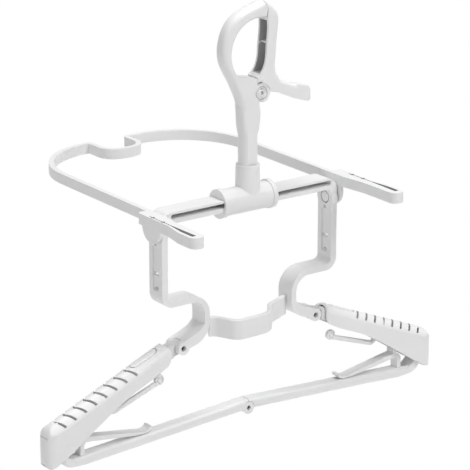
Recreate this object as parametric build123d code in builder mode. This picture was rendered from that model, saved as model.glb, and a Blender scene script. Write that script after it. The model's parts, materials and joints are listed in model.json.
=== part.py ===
from build123d import *
import math
import os

os.makedirs("parts", exist_ok=True)

# A folding drying hanger for hooded tops, in millimetres.
# X runs along the crossbar, Y to the back and Z up. The origin is the point that the hook hangs from.
# Heights in the front views count from the crossbar's top face, which lies hang_drop below the origin.

# Shared sizes
hang_drop = 140.8            # hanging point down to the crossbar's top face
strip_depth = 18.0           # depth of the frame strip, front to back
bar_depth = 12.0             # depth of the lower bars
overrun = 30.0               # how far cuts run past a surface
turning_gap = 0.05           # radial clearance of pins and swivels
side_gap = 0.3               # clearance between pieces that move past each other

# Frame: crossbar, legs, jogs and necks bent from one strip
frame_half_width = 87.0      # to the outer faces of the legs
crossbar_height = 9.3
leg_thickness = 5.5
leg_length = 78.8            # crossbar top down to the jog's lower face
jog_thickness = 4.9
frame_corner = 10.5          # outer corner radius
frame_inner_corner = 5.0
neck_thickness = 4.7
neck_bend_inset = 28.5          # leg's outer face to the centre of the upper neck bend
neck_bend_radius = 15.0      # on the middle of the strip
neck_straight = 5.5
foot_bend_radius = 16.75     # on the middle of the strip
foot_bend_angle = 68.0
bar_groove_length = 159.0
bar_groove_height = 3.9
bar_groove_drop = 3.85       # groove's middle below the crossbar's top
bar_groove_depth = 14.0
bar_groove_shift = 1.5

# Arm hinges at the feet of the necks
hinge_inset = 20.3               # from the leg's outer face
hinge_fall = 37.2                # below the legs
knuckle_radius = 5.3
tongue_width = 7.8
hinge_pin_radius = 2.4
hinge_pin_length = 11.0          # its ends lie deep in the bores
foot_shoulder = (-15.6, -11.7)   # inner corner of the foot, x and drop from the hinge
foot_join_shares = (0.8, 0.4)    # where the foot's outline meets the bent strip
foot_heel = (-8.2, -0.6)         # lower edge where the foot meets the knuckle

# Leg details around the hood loop's pivots
pivot_drop = 18.0
stud_radius = 5.4
stud_tip_radius = 4.5
stud_tip_length = 2.6
stud_seat_depth = 4.0            # how far the stud sits in the loop's lobe
leg_boss_radius = 10.0
leg_groove_width = 8.5
leg_groove_top = 28.0
leg_groove_rise = 13.8
leg_groove_depth = 1.2
window_rises = (27.5, 15.8)      # above the legs' lower ends
window_widths = (9.0, 4.0)
window_heights = (3.0, 1.8)
notch_width = 3.0
notch_height = 3.0
notch_drop = 26.3

# Neck band: a ribbon in front of the neck opening
band_height = 17.0
band_fall = 16.2                 # below the legs
band_thickness = 3.8
band_reach = 28.6                # how far its front stands before the middle plane
band_left_start = 7.0            # front edge of its left end before the middle plane
band_right_end = 1.5
band_corner_x_share = (-0.9, -0.68, 0.17, 0.46)      # corners as shares of the neck opening's half width
band_corner_y_share = (0.32, 1.0, 0.98, 0.4)         # corners as shares of band_reach
band_corner_radii = (6.0, 11.0, 19.0, 12.0)

# Hood loop
loop_clearance = 1.6             # leg's outer face to the loop's side arm
loop_thickness = 4.4
loop_height = 8.8
loop_top = 1.2                   # above the crossbar's top
loop_back = 194.5                # outer face at the back
loop_corner_shares = (0.998, 0.884)      # of the room between side arm and notch, left and right
loop_notch_x = -5.4
loop_notch_half_width = 16.0
loop_notch_depth = 30.5
loop_notch_bottom_radius = 12.0
loop_notch_mouth_radius = 5.5
lobe_radius = 12.6
lobe_drop = 12.5
lobe_gap = 1.3                   # leg's outer face to the lobe
lobe_thickness = 2.6
stud_seat_depth = 1.4            # how far the stud sits in the loop's lobe

# Hairpin clips at the loop's front tips; sideways sizes count from the side arm's inner face
clip_reach = 76.5                # tips before the middle plane
clip_root_y = 4.5
clip_root_side = 12.2            # outer face of the hairpin's thin leaf
clip_inner_side = 3.0
clip_outer_side = 15.6
clip_bend_y = -16.0              # where the inner face starts to lean outwards
clip_root_corner = 3.0
clip_tip_corner = 6.0
clip_flank_corner = 12.0
clip_slit_side = 10.0
clip_slit_width = 0.8
clip_slit_start = -9.0
clip_mouth_start = -38.0         # where the slit starts to widen
clip_mouth_flare = -56.0
clip_mouth_end = -70.5
clip_mouth_sides = (8.6, 12.6)
clip_hole_ys = (-14.0, -28.0)
clip_hole_radius = 1.6

# Swivel joint between hook and crossbar
stem_x = 2.6                     # the hook's axis stands this far right of the crossbar's middle
stem_radius = 7.85
stem_bottom = 0.6
sleeve_x = -1.0
sleeve_half_length = 26.0
sleeve_radius = 11.0
rim_radius = 12.0
rim_width = 4.0
collar_top = 24.0
collar_radius = 9.6
collar_foot_radius = 10.25
ring_inner_radius = 6.4
ring_outer_radius = 8.35
ring_thickness = 1.4
ring_height = 8.0
ring_opening = 50.0              # degrees

# Hook
hook_thickness = 13.0
hook_edge = 2.4                  # rounding of the long edges
bow_x = 10.0
bow_z = 117.0
bow_radius = 35.0
bearing_radius = 26.7            # inside of the bow
bearing_z = 116.0
bearing_ends = (77.0, 224.0)     # degrees around the bow's inner circle
bow_outline_share = (            # outer edge around (bow_x, bow_z), in bow radii
    (0.131, 1.106), (-0.257, 0.99), (-0.72, 0.755), (-0.97, 0.32), (-0.977, -0.2),
    (-0.76, -0.629), (-0.6, -0.95), (-0.51, -1.18))
bow_seam_share = (0.214, 0.943)  # corner of the seam between bow and gate
floor_end = (7.3, 94.2)          # where the hook's floor meets the gate
stem_arc_shares = (1.0, 0.72, 0.45, 0.0)      # of the angle from the side to the flat
stem_round_top = 48.0            # round stem below, flattened hook above
shank_z = 72.0
shank_left = -7.4
shank_right = 10.4
shank_waist_z = 60.0
shank_waist_left = -6.0
shank_bulge = 0.2
shank_right_corner = 0.8
pivot_x = 12.0
pivot_z = 81.7
boss_radius = 7.8
boss_ring_radii = (5.5, 4.8)
boss_ring_depth = 0.4
gate_pin_radius = 2.8
gate_pin_length = 12.4

# Gate and its lever
gate_seam = 0.4                  # gap between the gate and the hook's body
gate_tongue_width = 6.0
gate_tongue_radius = 7.6
gate_tongue_height_share = 1.8
gate_tongue_side_share = 1.4
gate_outer_points = ((15.2, 155.6), (19.0, 153.4), (25.4, 148.0), (29.0, 142.4), (29.3, 137.0),
                     (28.2, 127.0), (27.0, 114.0), (26.1, 103.0))
gate_inner_points = ((8.6, 96.0), (12.9, 100.7), (15.4, 107.0), (16.6, 119.0), (17.8, 131.0), (17.6, 141.6))
lever_points = ((26.8, 96.4), (31.5, 89.4), (46.0, 83.6), (62.0, 79.8), (62.2, 66.8),
                (44.0, 72.6), (29.5, 79.5), (20.5, 81.6))
lever_corner = 2.4
gate_wall = 2.3
gate_channel_width = 9.2
gate_channel_top = 139.5
gate_channel_bottom = 97.5
gate_rib_z = 121.0
gate_rib_setback = 3.0
gate_rib_height = 1.3
spring_wire = 0.8
spring_radius = 4.3
spring_turns = 2.75
spring_pitch = 1.25
spring_pocket_radius = 5.3
spring_pocket_floor = 1.2        # thickness of the tongue left under the pocket

# Arms: hollow shells, open below; their points are x and drop from the hinge
arm_wall = 2.0
arm_droop = 0.8                  # degrees that the arms hang lower than their outlines are drawn
arm_crown_rise = 7.0
arm_end_corner = 4.0             # rounding of the upright edges at the end
ridge_ends = ((15.8, -5.0), (118.3, 35.9))
arm_reach = 129.3
arm_end_outline = ((124.3, 39.6), (127.9, 46.0), (129.3, 54.5), (129.2, 68.0), (127.9, 71.2), (124.8, 71.2))
arm_lower_outline = ((114.6, 66.2), (104.8, 60.4), (91.8, 51.8), (73.3, 40.0), (50.3, 27.0), (32.3, 19.5), (14.8, 11.0))
arm_nose_outline = ((11.9, 4.0), (12.9, -2.4))
chevron_count = 8
chevron_reach = 52.1            # first chevron
chevron_pitch_x = 9.56
chevron_sweep = 5.0
chevron_half_width = 8.3
chevron_slit = 2.3
chevron_depth = 8.5
tab_reaches = (21.3, 46.3)
tab_width = 9.0
tab_line = 0.8
tab_depth = 1.6
core_tongue_outline = ((0.0, -5.3), (9.3, -3.0), (9.3, 7.4), (0.0, 5.3))
core_neck_outline = ((8.0, -2.8), (8.8, -4.0), (17.3, -0.7), (17.3, 10.2), (8.0, 6.4))
core_gap = 0.7                   # dark line between the neck and the shell
core_block_outline = ((16.3, -8.0), (33.3, -4.0), (33.3, 14.0), (21.3, 12.6), (16.3, 10.0))

# Strap hooks under the arms
strap_y = 2.6                    # before the middle plane
strap_button_place = (20.5, 23.2)
strap_button_radius = 4.3
strap_button_thickness = 3.6
strap_button_edge = 0.8
strap_ring_radii = (2.9, 2.0)
strap_ring_depth = 0.7
strap_rod_radius = 2.1
strap_outline = ((21.6, 25.4), (64.8, 39.8), (75.8, 32.0))      # rod from the button to its root
strap_bend_radius = 4.0
strap_block_length = 9.0
strap_block_height = 9.0

# Lower bars; heights of their details count from the bars' top at the middle
bar_fall = 60.4                  # bars' top at the middle, below the arm hinges
bar_height = 7.6
bar_slope_drop = 9.3             # how much lower the bars are at bar_slope_x
bar_slope_x = 160.0
bar_crown = 2.6                  # radius on the top edges
centre_pin_depth = 7.2
centre_knuckle_radius = 5.3
centre_pin_radius = 1.9
centre_pin_length = 8.0
tip_pin_reach = 112.6            # from the arm hinge
tip_pin_depth = 2.2
tip_knuckle_radius = 4.2
tip_pin_radius = 1.8
ramp_start_x = -7.4              # from the tip pin; here the bar's end starts to rise into the arm
ramp_top = (-3.6, 7.0)           # x from the tip pin, and depth
heel_points = ((4.0, 5.2), (3.3, 8.8), (0.8, 12.2), (-7.4, 16.2))

# Trouser clips: a leg on each bar with a leaf that reaches back down to the bar; x from the tip pin
clip_depth = 9.0
clip_leg_x = (-20.0, -16.2)
clip_post_x = (-24.6, -21.2)
clip_post_depth = -9.3
clip_outer_points = ((-16.2, 2.0), (-16.7, -1.4), (-18.6, -3.6), (-21.2, -5.0))
clip_leaf_points = ((-68.0, 2.1), (-77.0, 3.4), (-80.8, 2.4), (-82.6, 0.0))     # top face of the leaf
clip_tip_points = ((-84.7, 0.6), (-83.6, 3.4), (-80.6, 5.0))
clip_gap_points = ((-68.0, 5.1), (-26.6, -0.6), (-21.4, -0.9), (-20.0, 1.4))  # underside of the leaf
clip_nip_x = -77.0
clip_gap = 0.5

neck_bend_x = frame_half_width - neck_bend_inset
hinge_x = frame_half_width - hinge_inset
hinge_drop = leg_length + hinge_fall
band_top_drop = leg_length + band_fall
leg_groove_bottom = leg_length - leg_groove_rise
bar_top_drop = hinge_drop + bar_fall
bar_bottom_drop = bar_top_drop + bar_height
centre_pin_drop = bar_top_drop + centre_pin_depth
tip_pin_drop = bar_top_drop + tip_pin_depth
tip_pin_x = hinge_x + tip_pin_reach

front = Plane(origin=(0, 0, -hang_drop), x_dir=(1, 0, 0), z_dir=(0, -1, 0))
side = Plane(origin=(0, 0, -hang_drop), x_dir=(0, 1, 0), z_dir=(1, 0, 0))
sides = (("left", -1), ("right", 1))


def plan(height):
    """Level plane at a height above the crossbar's top."""
    return Plane.XY.offset(height - hang_drop)


def below(points):
    """Points given as x and drop, as points of the front view."""
    return [(x, -drop) for x, drop in points]


def from_hinge(points):
    """Points given from the arm's hinge, as x and drop, turned by the arms' droop."""
    turn = math.radians(arm_droop)
    return [(hinge_x + x * math.cos(turn) - drop * math.sin(turn),
             hinge_drop + x * math.sin(turn) + drop * math.cos(turn)) for x, drop in points]


def at_bar(points):
    """Points given as x from the tip pin and depth below the bars' top at the middle, in the front view."""
    return [(tip_pin_x + x, -bar_top_drop - depth) for x, depth in points]


def keep(builder, name):
    builder.part.label = name
    export_step(builder.part, "parts/" + name + ".step")
    print(name, len(builder.part.solids()), round(builder.part.volume, 1))


# Frame
neck_mid_x = neck_bend_x - neck_bend_radius
neck_bend_z = -(leg_length - jog_thickness / 2)
with BuildPart() as frame:
    with BuildSketch(front):
        with BuildLine():
            FilletPolyline((-frame_half_width, 0), (frame_half_width, 0), (frame_half_width, -leg_length),
                           (-frame_half_width, -leg_length), radius=frame_corner, close=True)
        make_face()
        inner_half = frame_half_width - leg_thickness
        inner_bottom = -leg_length + jog_thickness
        with BuildLine():
            FilletPolyline((-inner_half, -crossbar_height), (inner_half, -crossbar_height),
                           (inner_half, inner_bottom), (-inner_half, inner_bottom),
                           radius=frame_inner_corner, close=True)
        make_face(mode=Mode.SUBTRACT)
        with Locations((0, -leg_length)):
            Rectangle(2 * neck_bend_x, 4 * jog_thickness, mode=Mode.SUBTRACT)
        for name, sign in sides:
            with BuildLine() as neck_line:
                top = Line((sign * (neck_bend_x + jog_thickness), neck_bend_z), (sign * neck_bend_x, neck_bend_z))
                bend = JernArc(top @ 1, (-sign, 0), neck_bend_radius, sign * 90)
                straight = Line(bend @ 1, bend @ 1 - (0, neck_straight))
                foot = JernArc(straight @ 1, (0, -1), foot_bend_radius, sign * foot_bend_angle)
                Line(foot @ 1, (sign * hinge_x, -hinge_drop))
            trace(neck_line.line, neck_thickness)
            with BuildLine():
                Polyline(foot @ 0, (sign * (hinge_x + foot_shoulder[0]), -hinge_drop - foot_shoulder[1]),
                         (sign * hinge_x, -hinge_drop + knuckle_radius), (sign * hinge_x, -hinge_drop),
                         (sign * (hinge_x + foot_heel[0]), -hinge_drop - foot_heel[1]),
                         foot @ foot_join_shares[0], foot @ foot_join_shares[1], close=True)
            make_face()
            with Locations((sign * hinge_x, -hinge_drop)):
                Circle(knuckle_radius)
    extrude(amount=strip_depth / 2, both=True)
    for name, sign in sides:
        with BuildSketch(side.offset(sign * (frame_half_width - leg_thickness / 2))):
            with Locations((0, -pivot_drop)):
                Circle(leg_boss_radius)
        extrude(amount=leg_thickness / 2, both=True)
        with BuildSketch(side.offset(sign * frame_half_width)):
            with Locations((0, -pivot_drop)):
                Circle(stud_radius + turning_gap)
            for rise, width, height in zip(window_rises, window_widths, window_heights):
                with Locations((0, -leg_length + rise)):
                    Rectangle(width, height)
        extrude(amount=-sign * 2 * leg_thickness, mode=Mode.SUBTRACT)
        for face_x in (frame_half_width, frame_half_width - leg_thickness):
            with BuildSketch(side.offset(sign * face_x)):
                with Locations((0, -(leg_groove_top + leg_groove_bottom) / 2)):
                    RectangleRounded(leg_groove_width, leg_groove_bottom - leg_groove_top, leg_groove_width / 4)
                with Locations((0, -notch_drop)):
                    Rectangle(notch_width, notch_height)
            extrude(amount=leg_groove_depth, both=True, mode=Mode.SUBTRACT)
    with BuildSketch(front.offset(strip_depth / 2)):
        with Locations((bar_groove_shift, -bar_groove_drop)):
            SlotOverall(bar_groove_length, bar_groove_height)
    extrude(amount=-bar_groove_depth, mode=Mode.SUBTRACT)
    with BuildSketch(front):
        with Locations((-hinge_x, -hinge_drop), (hinge_x, -hinge_drop)):
            Circle(knuckle_radius + side_gap + turning_gap)
    extrude(amount=tongue_width / 2 + side_gap, both=True, mode=Mode.SUBTRACT)
    with BuildSketch(front):
        with Locations((-hinge_x, -hinge_drop), (hinge_x, -hinge_drop)):
            Circle(hinge_pin_radius)
    extrude(amount=strip_depth, both=True, mode=Mode.SUBTRACT)
keep(frame, "frame")

# Neck band, a ribbon that ends on the inner faces of the necks
neck_inner_x = neck_mid_x - neck_thickness / 2
band_points = [(-neck_inner_x - band_thickness, -band_left_start)]
for x_share, y_share in zip(band_corner_x_share, band_corner_y_share):
    band_points.append((x_share * neck_inner_x, -y_share * band_reach))
band_points.append((neck_inner_x + band_thickness, -band_right_end + band_thickness / 2))
with BuildPart() as neck_band:
    with BuildSketch(plan(-band_top_drop)):
        with BuildLine() as band_line:
            FilletPolyline(*band_points, radius=list(band_corner_radii))
            offset(amount=band_thickness, side=Side.LEFT, closed=True)
        make_face()
    extrude(amount=-band_height)
    with BuildSketch(plan(-band_top_drop - band_height / 2)):
        Rectangle(2 * neck_inner_x, 4 * band_reach)
    extrude(amount=band_height, both=True, mode=Mode.INTERSECT)
keep(neck_band, "neck_band")

# T-shaped connector: a sleeve round the crossbar with a collar for the hook's stem
ring_seat = ring_height - side_gap / 2
sleeve_drop = crossbar_height / 2
with BuildPart() as t_connector:
    with BuildSketch(side.offset(sleeve_x)):
        with Locations((0, -sleeve_drop)):
            Circle(sleeve_radius)
    extrude(amount=sleeve_half_length, both=True)
    for sign in (-1, 1):
        with BuildSketch(side.offset(sleeve_x + sign * (sleeve_half_length - rim_width / 2))):
            with Locations((0, -sleeve_drop)):
                Circle(rim_radius)
        extrude(amount=rim_width / 2, both=True)
    with BuildSketch(plan(-sleeve_drop)):
        with Locations((stem_x, 0)):
            Circle(collar_foot_radius)
    with BuildSketch(plan(collar_top)):
        with Locations((stem_x, 0)):
            Circle(collar_radius)
    loft()
    with BuildSketch(side):
        with Locations((0, -sleeve_drop)):
            Rectangle(strip_depth + 2 * turning_gap, crossbar_height + 2 * turning_gap)
    extrude(amount=sleeve_half_length + overrun, both=True, mode=Mode.SUBTRACT)
    with BuildSketch(plan(collar_top)):
        with Locations((stem_x, 0)):
            Circle(stem_radius + turning_gap)
    extrude(amount=-collar_top - turning_gap, mode=Mode.SUBTRACT)
    with BuildSketch(plan(ring_seat)):
        with Locations((stem_x, 0)):
            Circle(ring_outer_radius + side_gap / 2)
    extrude(amount=ring_thickness + side_gap, mode=Mode.SUBTRACT)
keep(t_connector, "t_connector")

with BuildPart() as swivel_ring:
    with BuildSketch(plan(ring_height)):
        with Locations((stem_x, 0)):
            Circle(ring_outer_radius)
            Circle(ring_inner_radius, mode=Mode.SUBTRACT)
        reach = 2 * ring_outer_radius
        half_opening = math.radians(ring_opening / 2)
        with BuildLine():
            Polyline((stem_x, 0), (stem_x - reach * math.sin(half_opening), reach * math.cos(half_opening)),
                     (stem_x + reach * math.sin(half_opening), reach * math.cos(half_opening)), close=True)
        make_face(mode=Mode.SUBTRACT)
    extrude(amount=ring_thickness)
keep(swivel_ring, "swivel_ring")


def rounded_quarter(half_width, corner):
    """Corner of the shank's section: end of the flat, two arc points and the side's middle, from its middle."""
    flat = hook_thickness / 2
    middle = math.sqrt(0.5) * corner
    return ((half_width - corner, flat), (half_width - corner + middle, flat - corner + middle),
            (half_width, flat - corner), (half_width + shank_bulge, 0))


def round_quarter():
    """Corner of the round stem's section with flats in front and behind."""
    start = math.asin(hook_thickness / 2 / stem_radius)
    return [(stem_radius * math.cos(share * start), stem_radius * math.sin(share * start))
            for share in stem_arc_shares]


def stem_section(middle, quarters):
    """Section of the hook's shank: flat front and back, and two rounded sides."""
    with BuildSketch() as section:
        with BuildLine():
            for turn, quarter, other in zip((1, -1), quarters, reversed(quarters)):
                flat, arc, end, side_point = [Vector(turn * x, turn * y) + Vector(middle, 0) for x, y in quarter]
                arc_low, end_low, flat_low = [Vector(turn * x, -turn * y) + Vector(middle, 0)
                                              for x, y in (quarter[1], quarter[2], quarter[0])]
                Line(Vector(-turn * other[0][0], -turn * other[0][1]) + Vector(middle, 0), flat_low)
                ThreePointArc(flat_low, arc_low, end_low)
                ThreePointArc(end_low, side_point, end)
                ThreePointArc(end, arc, flat)
        make_face()
    return section.sketch


# Hook: bow, boss and stem
bow_outline = [(bow_x + x * bow_radius, bow_z + z * bow_radius) for x, z in bow_outline_share]
bow_seam = (bow_x + bow_seam_share[0] * bow_radius, bow_z + bow_seam_share[1] * bow_radius)
bearing_start, bearing_stop = bearing_ends


def on_bearing(angle):
    """Point of the bow's inner circle at an angle in degrees."""
    turn = math.radians(angle)
    return (bow_x + bearing_radius * math.cos(turn), bearing_z + bearing_radius * math.sin(turn))


round_section = stem_section(stem_x, (round_quarter(), round_quarter()))
shank_sections = []
for left in (shank_waist_left, shank_left):
    half_width = (shank_right - left) / 2
    corners = (rounded_quarter(half_width, shank_right_corner), rounded_quarter(half_width, hook_edge))
    shank_sections.append(stem_section((left + shank_right) / 2, corners))
groove_radius = ring_inner_radius - side_gap
with BuildPart() as hook_body:
    with BuildSketch(front):
        with BuildLine():
            outer = Spline(*bow_outline, (shank_left, shank_z))
            Line(outer @ 1, (shank_right, shank_z))
            Line((shank_right, shank_z), (floor_end[0], pivot_z))
            Line((floor_end[0], pivot_z), floor_end)
            Line(floor_end, on_bearing(bearing_stop))
            ThreePointArc(on_bearing(bearing_stop), on_bearing(180), on_bearing(bearing_start))
            Line(on_bearing(bearing_start), bow_seam)
            Line(bow_seam, outer @ 0)
        make_face()
        with Locations((pivot_x, pivot_z)):
            Circle(boss_radius)
    extrude(amount=hook_thickness / 2, both=True)
    for face in (hook_body.faces().sort_by(Axis.Y)[0], hook_body.faces().sort_by(Axis.Y)[-1]):
        fillet(face.edges().sort_by(Edge.length)[-2:], hook_edge)
    with BuildSketch(front):
        with Locations((pivot_x, pivot_z)):
            Circle(boss_radius + 2 * side_gap)
    extrude(amount=gate_tongue_width / 2 + side_gap, both=True, mode=Mode.SUBTRACT)
    for turn in (1, -1):
        with BuildSketch(front.offset(turn * hook_thickness / 2)):
            with Locations((pivot_x, pivot_z)):
                Circle(boss_ring_radii[0])
                Circle(boss_ring_radii[1], mode=Mode.SUBTRACT)
        extrude(amount=-turn * boss_ring_depth, mode=Mode.SUBTRACT)
    with BuildSketch(front):
        with Locations((pivot_x, pivot_z)):
            Circle(gate_pin_radius)
    extrude(amount=hook_thickness, both=True, mode=Mode.SUBTRACT)
    with BuildSketch(plan(stem_round_top)):
        add(round_section)
    for height, section in zip((shank_waist_z, shank_z), shank_sections):
        with BuildSketch(plan(height)):
            add(section)
    loft()
    with BuildSketch(plan(stem_bottom)):
        add(round_section)
    extrude(amount=stem_round_top - stem_bottom)
    with BuildSketch(plan(ring_height - side_gap)):
        with Locations((stem_x, 0)):
            Circle(2 * stem_radius)
            Circle(groove_radius, mode=Mode.SUBTRACT)
    extrude(amount=ring_thickness + 2 * side_gap, mode=Mode.SUBTRACT)
keep(hook_body, "hook_body")

# Gate with its thumb lever, hollowed as a channel that opens towards the bow
with BuildPart() as hook_gate:
    with BuildSketch(front):
        with BuildLine():
            gate_outer = Spline(*gate_outer_points)
            lever = FilletPolyline(gate_outer @ 1, *lever_points, (pivot_x, pivot_z), radius=lever_corner)
            Line(lever @ 1, (floor_end[0] + gate_seam, pivot_z))
            Line((floor_end[0] + gate_seam, pivot_z), (floor_end[0] + gate_seam, gate_inner_points[0][1] - gate_seam))
            Line((floor_end[0] + gate_seam, gate_inner_points[0][1] - gate_seam), gate_inner_points[0])
            gate_inner = Spline(*gate_inner_points)
            Line(gate_inner @ 1, (bow_seam[0] + gate_seam, bow_seam[1]))
            Line((bow_seam[0] + gate_seam, bow_seam[1]), gate_outer @ 0)
        make_face()
        with Locations((pivot_x, pivot_z)):
            Circle(boss_radius + gate_seam, mode=Mode.SUBTRACT)
    extrude(amount=hook_thickness / 2, both=True)
    with BuildSketch(front):
        with Locations((pivot_x, pivot_z)):
            Circle(gate_tongue_radius)
        with BuildLine():
            Polyline((pivot_x - boss_radius / 2, pivot_z), (pivot_x - boss_radius / 2, pivot_z + gate_tongue_height_share * boss_radius),
                     (pivot_x + gate_tongue_side_share * boss_radius, pivot_z + gate_tongue_height_share * boss_radius),
                     (pivot_x + gate_tongue_side_share * boss_radius, pivot_z), close=True)
        make_face()
    extrude(amount=gate_tongue_width / 2, both=True)
    with BuildSketch(front):
        with BuildLine():
            Polyline((bow_x, gate_channel_bottom), (gate_outer_points[7][0] - gate_wall, gate_channel_bottom),
                     (gate_outer_points[5][0] - gate_wall, gate_rib_z - gate_rib_height / 2),
                     (bow_x, gate_rib_z - gate_rib_height / 2), close=True)
        make_face()
        with BuildLine():
            Polyline((bow_x, gate_rib_z + gate_rib_height / 2),
                     (gate_outer_points[5][0] - gate_wall, gate_rib_z + gate_rib_height / 2),
                     (gate_outer_points[4][0] - gate_wall, gate_channel_top), (bow_x, gate_channel_top), close=True)
        make_face()
        rib_front_x = gate_inner_points[3][0] + gate_rib_setback
        with BuildLine():
            Polyline((bow_x, gate_channel_bottom), (rib_front_x, gate_channel_bottom),
                     (rib_front_x, gate_channel_top), (bow_x, gate_channel_top), close=True)
        make_face()
    extrude(amount=gate_channel_width / 2, both=True, mode=Mode.SUBTRACT)
    with BuildSketch(front):
        with Locations((pivot_x, pivot_z)):
            Circle(gate_pin_radius + turning_gap)
    extrude(amount=hook_thickness, both=True, mode=Mode.SUBTRACT)
    with BuildSketch(front.offset(gate_tongue_width / 2 - spring_pocket_floor)):
        with Locations((pivot_x, pivot_z)):
            Circle(spring_pocket_radius)
    extrude(amount=-gate_tongue_width, mode=Mode.SUBTRACT)
keep(hook_gate, "hook_gate")

with BuildPart() as gate_pin:
    with BuildSketch(front):
        with Locations((pivot_x, pivot_z)):
            Circle(gate_pin_radius)
    extrude(amount=gate_pin_length / 2, both=True)
keep(gate_pin, "gate_pin")

# Torsion spring: an open coil round the gate's pin, in the tongue's pocket
spring_start_y = -(gate_tongue_width / 2 - spring_pocket_floor) + spring_wire / 2 + side_gap / 2
with BuildPart() as gate_spring:
    with BuildLine() as coil:
        Helix(pitch=spring_pitch, height=spring_pitch * spring_turns, radius=spring_radius,
              center=(pivot_x, spring_start_y, pivot_z - hang_drop), direction=(0, 1, 0))
    with BuildSketch(Plane(origin=coil.line @ 0, z_dir=coil.line % 0)):
        Circle(spring_wire / 2)
    sweep(is_frenet=True)
print("gap between the spring's turns", spring_pitch - spring_wire)
keep(gate_spring, "gate_spring")


# Hood loop: the ring behind the hood, with a hairpin clip at each front tip
arm_inner_x = frame_half_width + loop_clearance
arm_outer_x = arm_inner_x + loop_thickness
slit_inner = arm_inner_x + clip_slit_side - clip_slit_width / 2
slit_outer = slit_inner + clip_slit_width
mouth_inner, mouth_outer = [arm_inner_x + reach for reach in clip_mouth_sides]
tip_inner_x = arm_inner_x + clip_inner_side
tip_outer_x = arm_inner_x + clip_outer_side
root_outer_x = arm_inner_x + clip_root_side
with BuildSketch() as front_clip:
    with BuildLine():
        leaf = FilletPolyline((arm_inner_x, clip_root_y), (arm_inner_x, clip_bend_y),
                              (tip_inner_x, clip_mouth_start), (tip_inner_x, -clip_reach),
                              (tip_outer_x, -clip_reach), (tip_outer_x, clip_mouth_flare),
                              (root_outer_x, clip_mouth_start), (root_outer_x, clip_root_y), (arm_outer_x, clip_root_y),
                              radius=[clip_flank_corner] * 2 + [clip_tip_corner] * 2
                              + [clip_flank_corner] * 2 + [clip_root_corner])
        Line(leaf @ 1, leaf @ 0)
    make_face()
    with BuildLine():
        FilletPolyline((slit_inner, clip_slit_start), (slit_outer, clip_slit_start), (slit_outer, clip_mouth_start),
                       (mouth_outer, clip_mouth_flare), (mouth_outer, clip_mouth_end), (mouth_inner, clip_mouth_end),
                       (slit_inner, clip_mouth_start), radius=clip_slit_width / 4, close=True)
    make_face(mode=Mode.SUBTRACT)
    with Locations(*[(slit_inner + clip_slit_width / 2, y) for y in clip_hole_ys]):
        Circle(clip_hole_radius, mode=Mode.SUBTRACT)

lobe_inner_x = frame_half_width + lobe_gap
notch_left = loop_notch_x - loop_notch_half_width
notch_right = loop_notch_x + loop_notch_half_width
notch_bottom = loop_back - loop_notch_depth
corner_left = loop_corner_shares[0] * (arm_outer_x + notch_left - loop_notch_mouth_radius)
corner_right = loop_corner_shares[1] * (arm_outer_x - notch_right - loop_notch_mouth_radius)
notch_radii = [loop_notch_mouth_radius] + [loop_notch_bottom_radius] * 2 + [loop_notch_mouth_radius]
with BuildPart() as hood_loop:
    with BuildSketch(plan(loop_top)):
        with BuildLine():
            FilletPolyline((arm_outer_x, 0), (arm_outer_x, loop_back), (notch_right, loop_back),
                           (notch_right, notch_bottom), (notch_left, notch_bottom),
                           (notch_left, loop_back), (-arm_outer_x, loop_back), (-arm_outer_x, 0),
                           radius=[corner_right, *notch_radii, corner_left])
            offset(amount=loop_thickness, side=Side.LEFT, closed=True)
        make_face()
        add(front_clip.sketch)
        mirror(front_clip.sketch, about=Plane.YZ)
    extrude(amount=-loop_height)
    for name, sign in sides:
        with BuildSketch(side.offset(sign * lobe_inner_x)):
            with Locations((0, -lobe_drop)):
                Circle(lobe_radius)
        extrude(amount=sign * lobe_thickness, mode=Mode.ADD)
        with BuildSketch(side.offset(sign * lobe_inner_x)):
            with Locations((0, -pivot_drop)):
                Circle(stud_radius)
        extrude(amount=sign * stud_seat_depth, mode=Mode.SUBTRACT)
keep(hood_loop, "hood_loop")

for name, sign in sides:
    with BuildPart() as loop_stud:
        with BuildSketch(side.offset(sign * (frame_half_width - leg_thickness + stud_tip_length))):
            with Locations((0, -pivot_drop)):
                Circle(stud_radius)
        extrude(amount=sign * (leg_thickness - stud_tip_length + lobe_gap + stud_seat_depth))
        with BuildSketch(side.offset(sign * (frame_half_width - leg_thickness))):
            with Locations((0, -pivot_drop)):
                Circle(stud_tip_radius)
        extrude(amount=sign * stud_tip_length)
    keep(loop_stud, "loop_stud_" + name)

# Arms, drawn on the right and mirrored
ridge_start, ridge_end = from_hinge(ridge_ends)
arm_end_x = hinge_x + arm_reach
arm_end_points = from_hinge(arm_end_outline)
arm_lower_points = from_hinge(arm_lower_outline)
arm_nose_points = from_hinge(arm_nose_outline)
strap_button = from_hinge([strap_button_place])
strap_points = from_hinge(strap_outline)
strap_root = strap_points[-1]
ridge_dx = ridge_end[0] - ridge_start[0]
ridge_dz = ridge_end[1] - ridge_start[1]
ridge_length = math.hypot(ridge_dx, ridge_dz)
slope = math.atan2(ridge_dz, ridge_dx)
along = Vector(math.cos(slope), 0, -math.sin(slope))
outward = Vector(math.sin(slope), 0, math.cos(slope))
ridge_origin = Vector(ridge_start[0], 0, -ridge_start[1] - hang_drop)
half_depth = strip_depth / 2


def crown_section(inset):
    """Section square to the ridge: an arched crown on straight sides."""
    half = half_depth - inset
    deep = -2 * ridge_length
    with BuildSketch() as section:
        with BuildLine():
            crown = ThreePointArc((-half, -arm_crown_rise - inset), (0, -inset), (half, -arm_crown_rise - inset))
            Polyline(crown @ 1, (half, deep), (-half, deep), crown @ 0)
        make_face()
    return section.sketch


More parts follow.
